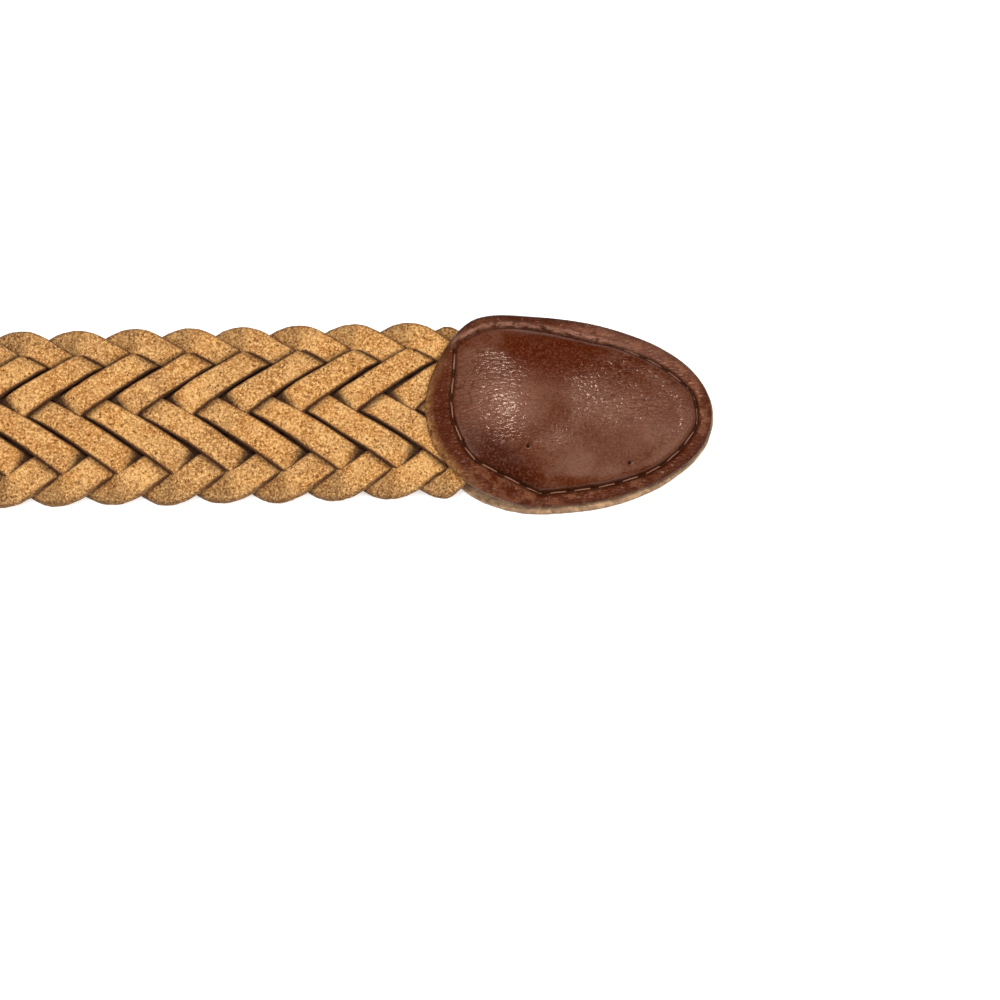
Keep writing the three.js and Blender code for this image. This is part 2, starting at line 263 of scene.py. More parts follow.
# The floor and the lights
stage = {
    "floorSize": 40,
    "floorColour": (0.82, 0.82, 0.815),
    "floorGlow": 0.45,  # the floor is brighter than its light makes it, as on a light table
    "worldStrength": 0.11,
    "softbox": {"power": 6.5, "size": (0.9, 0.76), "place": (0.47, -0.2, 0.8)},
    "fill": {"power": 4.0, "size": (0.36, 0.8), "place": (-0.56, -0.12, 0.7)},
    "spot": {"power": 3.5, "size": (0.07, 0.07), "place": (0.016, 0.155, 0.8)},
}


def makeStage():
    bm = bmesh.new()
    bmesh.ops.create_grid(bm, x_segments=1, y_segments=1, size=stage["floorSize"] / 2)
    mesh = bpy.data.meshes.new("floor")
    bm.to_mesh(mesh)
    bm.free()
    floor = bpy.data.objects.new("floor", mesh)
    bpy.context.scene.collection.objects.link(floor)
    material, tree, shader = nodeMaterial("floorPaper")
    feed(tree, shader, {"Base Color": (*stage["floorColour"], 1), "Roughness": 0.9})
    feed(tree, shader, {"Specular IOR Level": 0.1})
    feed(tree, shader, {"Emission Color": (1, 1, 1, 1), "Emission Strength": stage["floorGlow"]})
    mesh.materials.append(material)
    world = bpy.data.worlds.new("studio")
    bpy.context.scene.world = world
    world.use_nodes = True
    glow = {"Color": (1, 1, 1, 1), "Strength": stage["worldStrength"]}
    feed(world.node_tree, world.node_tree.nodes["Background"], glow)
    bpy.context.scene.view_settings.view_transform = "Standard"
    middle = Vector((tipStart, 0, 0))
    for name in ("softbox", "fill", "spot"):
        data = bpy.data.lights.new(name, "AREA")
        data.energy = stage[name]["power"]
        data.shape = "RECTANGLE"
        data.size, data.size_y = stage[name]["size"]
        light = bpy.data.objects.new(name, data)
        light.location = middle + Vector(stage[name]["place"])
        light.rotation_euler = (light.location - middle).to_track_quat("Z", "Y").to_euler()
        bpy.context.scene.collection.objects.link(light)


makeStage()
print("camera, floor and lights set")


# Most shapes start as a flat grid: its columns run along the piece and its rows round it
def laidGrid(bm, columns, rows):
    bmesh.ops.create_grid(bm, x_segments=columns - 1, y_segments=rows - 1, size=0.5)
    for vert in bm.verts:
        column = round((vert.co.x + 0.5) * (columns - 1))
        row = round((vert.co.y + 0.5) * (rows - 1))
        yield vert, column, row


def newMasks(bm, *names):
    # numbers kept at each point, which the materials read
    return {name: bm.verts.layers.float.new(name) for name in names}


def closeShape(bm, merge=0.002 * mm):
    bmesh.ops.remove_doubles(bm, verts=bm.verts[:], dist=merge)
    openEdges = [edge for edge in bm.edges if edge.is_boundary]
    if openEdges:
        bmesh.ops.holes_fill(bm, edges=openEdges, sides=0)
    bmesh.ops.recalc_face_normals(bm, faces=bm.faces[:])


def finishPiece(name, bm, material, slot, *nodes):
    mesh = bpy.data.meshes.new(name)
    bm.to_mesh(mesh)
    bm.free()
    mesh.shade_smooth()
    mesh.materials.append(material)
    piece = bpy.data.objects.new(name, mesh)
    bpy.context.scene.collection.objects.link(piece)
    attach(piece, "root")
    if nodes:
        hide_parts(*nodes)
    return piece


# The braid: nine laces, over three and under three, turning back at both edges
lace = {
    "count": 9,
    "pitch": 10.4 * mm,
    "halfWidth": 2.6 * mm,
    "turnWidening": 0.06,
    "underWidening": 0.12,
    "topNarrowing": 0.09,
    "rowShift": 1.6 * mm,  # the middle column lies this far above the belt's middle line
    "lean": (0.35 * mm, 1.1 * mm, 6 * mm),  # the lower laces lie farther along the belt
    "thickness": 1.9 * mm,
    "rowSpacing": 3.35 * mm,
    "turnRadius": 6.5 * mm,
    "peakFromTipEnd": 56.3 * mm,  # from the tip's round end to the first lace's upper turn
    "bandWidth": 32 * mm,
    "bandThickness": 4.2 * mm,
    "diveHalf": 0.36,  # in half pitches
    "diveSkew": 0.9,  # 1 dives along the crossing lace, 0 straight across its own width
    "openSkew": -0.25,  # the same where a dark corner opens beside it
    "turnHalf": 0.55,
    "arch": 0.16 * mm,
    "wander": 0.16 * mm,
    "widthChange": 0.05,
    "roll": 3.0,  # degrees
    "sides": 20,
    "squareness": 4.6,
    "coarseStep": 0.3,  # between two sections, in half pitches
    "fineStep": 0.1,
    "fineAt": [(0, 0.75), (1.5, 0.5), (4.5, 0.5), (7.5, 0.5), (9, 0.75)],  # and how far round it
    "outerFrom": 12.6 * mm,  # the laces' outer turns get painted shade past here, deeper on their lower edge
    "outerTo": 16.4 * mm,
    "riseLength": 24 * mm,
    "overBack": 1.7 * mm,
    "overChape": 1.9 * mm,
    "sewnThickness": 2.8 * mm,
    "chapeThickness": 4.0 * mm,
    "underDome": 0.7,  # of the seam's half width
    "endRounding": 0.8,
    "narrowFrom": 0.06,  # as shares of the tip's length
    "narrowTo": 0.24,
}
halfPitch = lace["pitch"] / 2
peakX = tipHigh.x - lace["peakFromTipEnd"]
slantTan = lace["rowSpacing"] / halfPitch
slantAngle = math.atan(slantTan)
slantStep = halfPitch / math.cos(slantAngle)
skewPerMetre = 1 / (math.tan(2 * slantAngle) * slantStep)
laceLift = (lace["bandThickness"] - lace["thickness"]) / 2
virtualEdge = lace["count"] / 2 * lace["rowSpacing"]

tip = {
    "drop": 2.2 * mm,
    "wall": 1.4 * mm,
    "overBraid": 4.8 * mm,
    "overBack": 1.7 * mm,
    "crownRise": 0.8 * mm,
    "seamStart": 4.1 * mm,
    "seamLength": 46.5 * mm,
    "seamHalf": 15.5 * mm,
    "domeMiddle": 0.45,
    "stepStart": 0.16,  # the rim steps down from the braid to the backing between these
    "stepEnd": 0.4,
}
domeMiddleX = tipStart + tip["seamStart"] + tip["seamLength"] * tip["domeMiddle"]


def tipMiddleY(x):
    return -tip["drop"] * (x - tipStart) / tipLength


def rimUnderZ(x):
    stepped = smoothstep((x - tipStart) / tipLength, tip["stepStart"], tip["stepEnd"])
    return mix(tip["overBraid"], tip["overBack"], stepped)


def seated(x, y, z):
    # where a point of the straight, level braid lies: it climbs onto the leather at both ends
    risenToTip = smoothstep(x, tipStart - lace["riseLength"], tipStart)
    risenToChape = smoothstep(-x, -chapeHigh.x - lace["riseLength"], -chapeHigh.x)
    thickness = mix(lace["bandThickness"], lace["sewnThickness"], risenToTip)
    thickness = mix(thickness, lace["chapeThickness"], risenToChape)
    bottom = lace["overBack"] * risenToTip + lace["overChape"] * risenToChape
    towardsEnd = min(max((x - domeMiddleX) / (bandHigh.x - domeMiddleX), 0.0), 1.0)
    endShare = math.sqrt(1 - lace["endRounding"] * towardsEnd**2)
    inTip = smoothstep((x - tipStart) / tipLength, lace["narrowFrom"], lace["narrowTo"])
    half = mix(lace["bandWidth"] / 2, tip["seamHalf"] * lace["underDome"] * endShare, inTip)
    y = y * half * 2 / lace["bandWidth"]
    if x > tipStart:
        y += tipMiddleY(x)
    return Vector((x, y, bottom + z * thickness / lace["bandThickness"]))


def fromTurn(q):
    # half pitches to the nearest turn, and whether that turn is on the upper edge
    turn = round(q / lace["count"])
    return q - turn * lace["count"], turn % 2 == 0


def lacePath(q):
    # the lace's middle line in plan and its direction, q half pitches past its upper turn
    away, isUpper = fromTurn(q)
    along = away * halfPitch
    radius = lace["turnRadius"]
    if abs(along) < radius * math.sin(slantAngle):
        inwards = radius / math.cos(slantAngle) - math.sqrt(radius**2 - along**2)
        slope = along / math.sqrt(radius**2 - along**2)
    else:
        inwards = abs(along) * slantTan
        slope = math.copysign(slantTan, along)
    side = 1 if isUpper else -1
    return q * halfPitch, side * (virtualEdge - inwards), -side * slope


def unevenRows(y):
    # the real braid's columns are not alike: it leans to one side
    share = min(abs(y * 2 / lace["bandWidth"]), 1)
    shift, most, reach = lace["lean"]
    return shift - most * math.tanh(y / reach), y + lace["rowShift"] * (1 - share**2) ** 2


# Past its upper turn a lace runs on top for 1.5 half pitches, under three laces, over three
# and under the last 1.5, and turns again at 9.
def laceLevel(q):
    # 1 on top, -1 underneath
    phase = q % 9
    dive = lace["diveHalf"]
    turn = lace["turnHalf"]
    level = smoothstep(phase, -turn, turn) - smoothstep(phase, 1.5 - dive, 1.5 + dive)
    level += smoothstep(phase, 4.5 - dive, 4.5 + dive) - smoothstep(phase, 7.5 - dive, 7.5 + dive)
    level += smoothstep(phase, 9 - turn, 9 + turn)
    return 2 * level - 1


def laceArch(q):
    phase = q % 9
    if phase < 1.5:
        return math.sin(math.pi * phase / 1.5) * 0.5
    if phase < 4.5:
        return -math.sin(math.pi * (phase - 1.5) / 3)
    if phase < 7.5:
        return math.sin(math.pi * (phase - 4.5) / 3)
    return -math.sin(math.pi * (phase - 7.5) / 1.5) * 0.5


def laceStations(first, last):
    # the sections lie closer where the lace turns or dives
    stations = [first]
    while stations[-1] < last:
        q = stations[-1]
        near = max(bell(q % 9, middle, width) for middle, width in lace["fineAt"])
        stations.append(q + mix(lace["coarseStep"], lace["fineStep"], min(near * 1.3, 1)))
    stations[-1] = last
    return stations


def sectionPoint(row):
    # a rounded rectangle, from the middle of its underside round and back
    angle = -math.pi / 2 + 2 * math.pi * row / lace["sides"]
    power = 2 / lace["squareness"]
    return signedPower(math.cos(angle), power), signedPower(math.sin(angle), power)


def makeLace(index, material):
    first = (bandLow.x - peakX) / halfPitch - 2 * index
    last = (bandHigh.x - peakX) / halfPitch - 2 * index
    stations = laceStations(first, last)
    section = [sectionPoint(row) for row in range(lace["sides"] + 1)]
    seed = 13.7 * index
    bm = bmesh.new()
    masks = newMasks(bm, "wall", "sunk", "tone", "brim", "outer")
    for vert, column, row in laidGrid(bm, len(stations), len(section)):
        q = stations[column]
        across, up = section[row]
        away, isUpper = fromTurn(q)
        descends = (away > 0) == isUpper
        heading = 1 if descends else -1
        level = laceLevel(q)
        # its width there, and how far this point lies off its middle line
        width = 1 + lace["widthChange"] * noise.noise((q * 0.45, seed, 0.0)) * 2
        width += lace["turnWidening"] * bell(away, 0, 1.0) + lace["underWidening"] * (1 - level) / 2
        frayed = 1 + 0.02 * noise.noise((q * 7, seed + across, 1.0)) * 2
        sideways = across * lace["halfWidth"] * width * frayed * (1 - lace["topNarrowing"] * up)
        # it dives under its neighbour on a slant
        skew = mix(lace["diveSkew"], lace["openSkew"], bell(q % 9, 7.5 if descends else 4.5, 1.0))
        fade = smoothstep(abs(away), 0.35, 1.0)
        x, y, slope = lacePath(q + heading * skew * skewPerMetre * sideways * fade)
        length = math.hypot(1, slope)
        leant, y = unevenRows(y + sideways / length)
        x += peakX + index * lace["pitch"] - slope / length * sideways + leant
        y += lace["wander"] * noise.noise((q * 0.6, seed, 7.0)) * 2
        # its height in the braid, arched and rolled a little
        roll = math.radians(lace["roll"]) * (noise.noise((q * 0.5, seed, 11.0)) * 2 + 0.6 * heading)
        height = lace["bandThickness"] / 2 + level * laceLift + laceArch(q) * lace["arch"]
        height += lace["wander"] * 0.5 * noise.noise((q * 0.8, seed, 3.0)) * 2
        height += up * lace["thickness"] / 2 - sideways * math.tan(roll)
        height += 0.10 * mm * (1 - across**2) * max(up, 0)
        vert.co = seated(min(max(x, bandLow.x), bandHigh.x), y, max(height, 0.02 * mm))
        outer = smoothstep(abs(y), lace["outerFrom"], lace["outerTo"])
        # the side walls, painted dark: the cut edge's own colour with painted shade in the gaps
        wall = smoothstep(abs(across), 0.93, 1.0) * smoothstep(1 - abs(up), 0.08, 0.4)
        run = math.floor((q % 9 + 4.5) / 3) + math.floor(q / 9) * 3.3
        vert[masks["wall"]] = wall * (1 - 0.85 * outer)
        # painted shade where the lace runs under its neighbours, lighter at the turns
        sunk = smoothstep(-level, -0.7, 0.25)
        vert[masks["sunk"]] = sunk * mix(0.3, 1, smoothstep(abs(away), 0.5, 1.1))
        vert[masks["tone"]] = noise.noise((run, seed, 0.5))
        # darker towards each lace's edges: the cut edge's colour with painted shade
        vert[masks["brim"]] = smoothstep(abs(across), 0.8, 1.0)
        # painted shade on the laces' outer turns, deeper on the lower edge, where less light falls
        vert[masks["outer"]] = outer * (1 if y < 0 else 0.45)
    closeShape(bm)
    finishPiece(f"lace_{index + 1}", bm, material, "lace_leather", "braid_band")


laceLook = {
    "pale": (0.86, 0.52, 0.205),
    "middle": (0.50, 0.215, 0.053),
    # random dull patches, and painted shade on the outer turns
    "dullAndShade": (0.33, 0.165, 0.06),
    "dark": (0.09, 0.026, 0.006),
    # the cut side's dark colour with painted shade in the gaps
    "cutSideShade": (0.055, 0.017, 0.011),
    # near-black painted shade for the stretches under other laces
    "sunk": (0.02, 0.006, 0.004),
    "browner": (0.34, 0.14, 0.04),
    "roughness": 0.88,
    "specular": 0.12,
    "fibreScale": 4400.0,
}


def makeLaceMaterial():
    material, tree, shader = nodeMaterial("laceSuede")
    look = laceLook
    place = objectPlace(tree)
    nap = placeGroup(tree, suedeNap, {"Place": place, "Fibre Scale": look["fibreScale"]})
    patches = spread(tree, noiseOf(tree, place, 330.0, 3.0, 0.6), 0.4, 0.62)
    broad = spread(tree, noiseOf(tree, place, 120.0, 2.0, 0.5), 0.42, 0.66)
    coats = [
        (patches, 0.4, "pale"),
        (broad, 0.45, "dullAndShade"),
        (spread(tree, vertexValue(tree, "tone"), -0.5, 0.5), 0.28, "browner"),
        # painted shade on the outer turns
        (vertexValue(tree, "outer"), 0.75, "dullAndShade"),
        (nap.outputs["Pale"], 0.9, "pale"),
        (nap.outputs["Dark"], 0.95, "dark"),
        # cut edge colour and painted shade along the edges and side walls
        (vertexValue(tree, "brim"), 0.25, "cutSideShade"),
        (vertexValue(tree, "wall"), 0.9, "cutSideShade"),
        # painted shade on the stretches under other laces
        (vertexValue(tree, "sunk"), 0.93, "sunk"),
    ]
    colour = painted(tree, look, look["middle"], coats)
    normal = bumpFrom(tree, nap.outputs["Fuzz"], 0.7, 0.3 * mm)
    feed(tree, shader, {"Base Color": colour, "Normal": normal, "Roughness": look["roughness"]})
    feed(tree, shader, {"Specular IOR Level": look["specular"]})
    return material


laceMaterial = makeLaceMaterial()
for index in range(lace["count"]):
    makeLace(index, laceMaterial)
print("nine laces braided")


# The leather tip: a thin shell, domed over the braid's end and sewn down round it.
# Points are millimetres from where the tip starts and from the belt's middle line.
tipShape = {
    "outline": [
        (0, 0.8), (0.9, 5.0), (2.6, 8.8), (5.0, 12.6), (8.0, 15.7), (11.5, 17.2), (17, 17.7),
        (25, 17.1), (33.3, 15.5), (41.7, 12.5), (47.4, 9.2), (51.0, 5.8), (53.2, 2.0), (53.9, -1.9),
        (53.0, -6.1), (50.7, -9.5), (47.0, -12.5), (41.3, -15.5), (33.2, -17.9), (25, -18.8),
        (19, -18.8), (13.9, -17.7), (9.7, -15.9), (6.4, -13.4), (3.2, -10.0), (1.0, -6.0), (0.1, -2.0),
    ],
    "seam": [
        (5.9, 11.2), (5.75, 10.2), (5.6, 7.5), (5.3, 4.2), (4.9, 1.0), (5.2, -2.2), (6.3, -5.6),
        (8.5, -9.7), (12.2, -12.0), (17.2, -14.5), (20.6, -16.2), (21.6, -16.4), (24.9, -16.2),
        (29.8, -15.7), (34.3, -15.0), (41.6, -12.8), (46.3, -9.8), (49.1, -6.8), (50.8, -4.0),
        (51.0, -1.2), (50.2, 2.2), (48.3, 4.2), (45.7, 6.4), (41.9, 8.8), (36.0, 11.3), (31.6, 12.4),
        (25, 14.1), (20.8, 14.9), (16.4, 15.2), (12.2, 14.7), (8.2, 13.0), (6.4, 12.0),
    ],
    "middle": (26, -0.6),
    "ringSteps": 24,  # between two points of the outline or the seam
    "columns": 448,
    "domeRows": 84,
    "rimRows": 22,
    "edgeRows": 6,
    "underRows": 12,
    "domeCrowding": 1.35,  # above 1 the dome's rows lie closer near the seam
    "domeFullness": (4, 0.62),
    "edgeRound": 0.45 * mm,
    "grooveDepth": 0.5 * mm,
    "grooveWidth": 0.4 * mm,
    "skivedWall": 0.4 * mm,
    "skivedLength": 7 * mm,
    "rimBulge": 0.12 * mm,
    "rimPuckers": (0.16 * mm, 0.34 * mm),  # the second at the lower right
    "wrinkle": 0.06 * mm,
    # the next two: strength or height, where along and how far, where across and how far
    "wrinkled": [(1, 11, 8, 2, 7), (0.8, 41, 9, 2, 7)],
    "swells": [
        (0.7, 14, 7.5, -0.2, 6.5), (0.05, 43, 6, -2.5, 6),
        (-0.25, 26, 6, 8, 6), (-0.3, 28.9, 0.4, 11.4, 1.3),
    ],
    "fall": (1.1, 16, 42),  # how much the dome falls, from where to where
    "padding": 0.05,  # how uneven it is
    "ridgeHeight": 0.55 * mm,
    "pits": [(19.1, -8.0), (38.0, -11.2)],
    "pitDepth": 0.5 * mm,
    "pitWidth": 0.22 * mm,
}
seamStitch = {
    "length": 3.1 * mm,
    "pitch": 4.6 * mm,
    "radius": 0.17 * mm,
    "first": 1.2 * mm,
    "sunk": 0.12 * mm,
    "lastSeamPoint": 24,  # the stitches show from the seam's first point to this one
}


def tipPoint(point):
    return Vector((tipStart + point[0] * mm, point[1] * mm))


def smoothRing(points):
    # a closed curve through every point
    ring = []
    count = len(points)
    steps = tipShape["ringSteps"]
    for index in range(count):
        before, here, after, beyond = (tipPoint(points[(index + k) % count]) for k in (-1, 0, 1, 2))
        bend = 2 * before - 5 * here + 4 * after - beyond
        twist = 3 * here - before - 3 * after + beyond
        for step in range(steps):
            t = step / steps
            ring.append(0.5 * (2 * here + (after - before) * t + bend * t**2 + twist * t**3))
    return ring


tipMiddle = tipPoint(tipShape["middle"])
tipAngles = [-math.pi + 2 * math.pi * k / tipShape["columns"] for k in range(tipShape["columns"] + 1)]


def angleTable(ring, values):
    # the values of a ring's points by their angle round the tip's middle
    pairs = sorted(
        (math.atan2(point.y - tipMiddle.y, point.x - tipMiddle.x), value)
        for point, value in zip(ring, values)
    )
    return [angle for angle, value in pairs], [value for angle, value in pairs]


def radiusTable(ring):
    return angleTable(ring, [(point - tipMiddle).length for point in ring])


def radiusAt(table, angle):
    return float(np.interp(angle, table[0], table[1], period=2 * math.pi))


def softened(table):
    # the same ring without its corners
    radii = []
    for angle in table[0]:
        nearby = [radiusAt(table, angle + 0.07 * k) for k in range(-6, 7)]
        radii.append(sum(nearby) / len(nearby))
    return table[0], radii


seamRing = smoothRing(tipShape["seam"])
outlineTable = radiusTable(smoothRing(tipShape["outline"]))
seamTable = radiusTable(seamRing)
softTable = softened(seamTable)
seamTravel = [0.0]  # how far along the seam each of its points lies
for here, there in zip(seamRing, seamRing[1:]):
    seamTravel.append(seamTravel[-1] + (there - here).length)
travelTable = angleTable(seamRing, seamTravel)
stitchedTravel = seamTravel[seamStitch["lastSeamPoint"] * tipShape["ringSteps"]]


def bumpsAt(bumps, x, y):
    along, across = (x - tipStart) / mm, y / mm
    return [
        height * bell(along, middleX, reachX) * bell(across, middleY, reachY)
        for height, middleX, reachX, middleY, reachY in bumps
    ]


def wrinkles(x, y):
    # long shallow creases, mostly along the belt, strongest at the left and right of the dome
    sway = 0.8 * mm * noise.noise((x * 90, y * 90, 2.0))
    u, v = (x - tipStart) * 330, (y + sway) * 1150
    run = noise.noise((u, v, 0.0)) + 0.5 * noise.noise((u * 2.1, v * 2.0, 5.0))
    fold = 1 - min(abs(run) * 3.2, 1)
    return -fold * (0.05 + 0.9 * max(bumpsAt(tipShape["wrinkled"], x, y)))


def domeSwell(x, y):
    # the padding under the leather is a little uneven
    height, first, last = tipShape["fall"]
    swell = sum(bumpsAt(tipShape["swells"], x, y))
    swell -= height * smoothstep((x - tipStart) / mm, first, last)
    return (swell + tipShape["padding"] * noise.noise((x * 130, y * 150, 9.0))) * mm


def tipColumn(angle):
    # what holds for a whole column of the cap, at its angle round the tip
    travel = float(np.interp(angle, *travelTable))
    # 1 on the puckered stretch without stitches
    puckered = smoothstep(travel, stitchedTravel - 8 * mm, stitchedTravel + 4 * mm)
    puckered *= smoothstep(-travel, -seamTravel[-1] - 1 * mm, -seamTravel[-1] + 2 * mm)
    hole = 0.5 + 0.5 * math.cos(2 * math.pi * travel / seamStitch["pitch"])
    torn = 0.3 + 1.6 * max(noise.noise((travel * 420, 8.0, 2.0)), 0)
    outwards = Vector((math.cos(angle), math.sin(angle)))
    seamRadius = radiusAt(seamTable, angle)
    return {
        "outwards": outwards,
        "seam": seamRadius,
        "soft": radiusAt(softTable, angle),
        "edge": radiusAt(outlineTable, angle),
        "travel": travel,
        "puckered": puckered,
        "seamZ": rimUnderZ((tipMiddle + outwards * seamRadius).x) + tip["wall"],
        "groove": tipShape["grooveDepth"] * mix(0.8 + 0.5 * hole**3, torn, puckered),
    }


def rimTopZ(x):
    skived = smoothstep(x - tipStart, 0, tipShape["skivedLength"])
    return rimUnderZ(x) + mix(tipShape["skivedWall"], tip["wall"], skived)


def domeZ(column, radius):
    # the seam's own form at the rim, and a rounder one farther in
    ring = mix(column["soft"], column["seam"], smoothstep(radius / column["seam"], 0.5, 1.0))
    within = min(radius / ring, 1)
    crown = tip["overBraid"] + tip["crownRise"] + tip["wall"]
    flatness, fullness = tipShape["domeFullness"]
    return mix(column["seamZ"], crown, (1 - within**flatness) ** fullness)


def domePoint(column, share):
    radius = column["seam"] * share
    place = tipMiddle + column["outwards"] * radius
    fromSeam = column["seam"] - radius
    z = domeZ(column, radius)
    z += domeSwell(place.x, place.y) * smoothstep(fromSeam, 0, 5 * mm)
    z += wrinkles(place.x, place.y) * tipShape["wrinkle"] * smoothstep(fromSeam, 0, 4 * mm)
    z -= column["groove"] * bell(fromSeam, 0, tipShape["grooveWidth"])
    for pit in tipShape["pits"]:
        z -= tipShape["pitDepth"] * bell((place - tipPoint(pit)).length, 0, tipShape["pitWidth"])
    return place, z


def underPoint(column, share):
    radius = mix(column["edge"], 0.2 * column["seam"], share)
    place = tipMiddle + column["outwards"] * radius
    if radius > column["seam"]:
        return place, rimUnderZ(place.x)
    return place, domeZ(column, radius) - tip["wall"]


def rimPoint(column, share):
    fromSeam = (column["edge"] - tipShape["edgeRound"] - column["seam"]) * share
    place = tipMiddle + column["outwards"] * (column["seam"] + fromSeam)
    z = mix(column["seamZ"], rimTopZ(place.x), smoothstep(share, 0, 0.5))
    z -= column["groove"] * bell(fromSeam, 0, tipShape["grooveWidth"])
    z += tipShape["rimBulge"] * math.sin(math.pi * share)
    pucker = noise.noise((column["travel"] * 900, share * 0.8, 1.0))
    pucker *= math.sin(math.pi * min(share * 1.3, 1))
    lowRight = bell(place.x - tipStart, 46 * mm, 12 * mm) * smoothstep(-place.y, 0, 8 * mm)
    return place, z + mix(*tipShape["rimPuckers"], lowRight) * pucker


def edgePoint(column, share):
    turn = math.pi / 2 * (1 - 2 * share)
    radius = column["edge"] - tipShape["edgeRound"] * (1 - math.cos(turn))
    place = tipMiddle + column["outwards"] * radius
    top, under = rimTopZ(place.x), rimUnderZ(place.x)
    return place, (top + under) / 2 + (top - under) / 2 * math.sin(turn)


def tornLip(column, radius):
    # the ragged lip beside the puckered stretch of the seam
    travel, seamRadius = column["travel"], column["seam"]
    inner = seamRadius + 0.35 * mm * noise.noise((travel * 700, 6.0, 0.0))
    lip = smoothstep(radius, inner - 0.1 * mm, inner + 0.35 * mm)
    lip *= smoothstep(-radius, -seamRadius - 1.7 * mm, -seamRadius - 0.7 * mm)
    torn = noise.noise((travel * 500, radius * 500, 4.0))
    torn += 0.7 * noise.noise((travel * 1500, radius * 1300, 4.0))
    return lip * column["puckered"] * max(0.75 + 0.7 * torn, 0)


def makeTipFront(material):
    last = tipShape["domeRows"] - 1
    crowding = tipShape["domeCrowding"]
    rows = [(domePoint, 1 - (1 - k / last) ** crowding) for k in range(last + 1)]
    for point, name in ((rimPoint, "rimRows"), (edgePoint, "edgeRows"), (underPoint, "underRows")):
        rows += [(point, (k + 1) / tipShape[name]) for k in range(tipShape[name])]
    columns = [tipColumn(angle) for angle in tipAngles]
    bm = bmesh.new()
    masks = newMasks(bm, "rim", "groove", "scuff", "ridge", "rimEdge")
    for vert, index, row in laidGrid(bm, len(columns), len(rows)):
        column = columns[index]
        point, share = rows[row]
        place, z = point(column, share)
        radius = (place - tipMiddle).length
        ridge = tornLip(column, radius) if point in (domePoint, rimPoint) else 0.0
        vert.co = (place.x, place.y, z + tipShape["ridgeHeight"] * ridge)
        fromSeam = radius - column["seam"]
        fromEdge = radius - column["edge"]
        up = column["outwards"].y
        groove = bell(fromSeam, 0, tipShape["grooveWidth"] * 1.3)
        rimEdge = smoothstep(fromEdge, -1.5 * mm, -0.2 * mm)
        scuff = smoothstep(tipStart - place.x, -13 * mm, -3 * mm)
        scuff *= smoothstep(fromEdge, -2.2 * mm, -0.3 * mm)
        vert[masks["rim"]] = smoothstep(fromSeam, -0.3 * mm, 0.5 * mm)
        # painted shade along the seam groove, less on the puckered stretch
        vert[masks["groove"]] = groove * (1 - 0.4 * column["puckered"])
        vert[masks["rimEdge"]] = rimEdge * mix(0.4, 1, smoothstep(up, -0.3, 0.6))
        vert[masks["ridge"]] = ridge
        vert[masks["scuff"]] = scuff * smoothstep(-up, -0.7, 0.3)
    closeShape(bm)
    finishPiece("tip_cap", bm, material, "tip_leather", "tip_front")


tipLook = {
    "dome": (0.082, 0.016, 0.003),
    # painted shade: darker, more saturated, where the dome reflects no light
    "domeOrangeShade": (0.066, 0.007, 0.0005),
    "domeGrey": (0.135, 0.05, 0.028),
    # dark grain specks, and painted shade on the lower left flank and in the creases
    "domeDarkAndShade": (0.037, 0.005, 0.001),
    "rim": (0.15, 0.048, 0.02),
    "rimDark": (0.066, 0.010, 0.001),
    # near-black: painted shade in the seam groove and the lip's cracks; it also darkens the outline
    "scuffTan": (0.30, 0.135, 0.045),
    "groove": (0.03, 0.008, 0.003),
    # the torn lip's pale colour, also used for the painted highlight and sheen on the dome
    "ridge": (0.27, 0.12, 0.078),
    # near-black painted shade in the pits
    "pit": (0.004, 0.001, 0.001),
    "roughness": 0.155,
    "specular": 0.18,
    "shineTint": (1.0, 0.76, 0.62, 1.0),
    "fibreScale": 2300.0,
    "pebbleScale": 2400.0,
    "creaseScale": 1750.0,
}
# places where the tip looks different: centre, reach along and across, turn in degrees
tipSpots = {
    # painted shade on top of the dome, where it reflects no light
    "orangeShade": ((24, 9.5), (17, 9), 0),
    # painted shade on the dome's lower left flank
    "dark": ((14.0, -11), (14, 6), -38),
    "creasedLeft": ((12, 1), (13, 11), 0),
    "creasedRight": ((41, 3), (18, 12), -20),
    # painted highlight on the dome's left swell
    "paintedHighlightLeft": ((14, 0.5), (11, 8), 0),
    # painted sheen on the dome's right part
    "paintedSheenRight": ((41, -1), (15, 10), 0),
    "leftRim": ((1, -4), (13, 22), 0),
    "lowRim": ((47, -11), (13, 9), 0),
    "highRim": ((21, 18), (17, 6), 0),
    "topRim": ((41, 12), (19, 9), -25),
}


def softSpot(tree, place, centre, radii, turn=0.0):
    # 1 at a place on the tip, falling to 0 at these distances along and across
    flat = stretched(tree, place, (radii[0] * mm, radii[1] * mm, 1), (*tipPoint(centre), 0), turn)
    gradient = tree.nodes.new("ShaderNodeTexGradient")
    gradient.gradient_type = "SPHERICAL"
    feed(tree, gradient, {"Vector": flat})
    return spread(tree, gradient.outputs["Fac"], 0.0, 0.8)


def stronger(tree, first, second):
    # whichever of two masks is the stronger
    return maths(tree, "MAXIMUM", first, second)


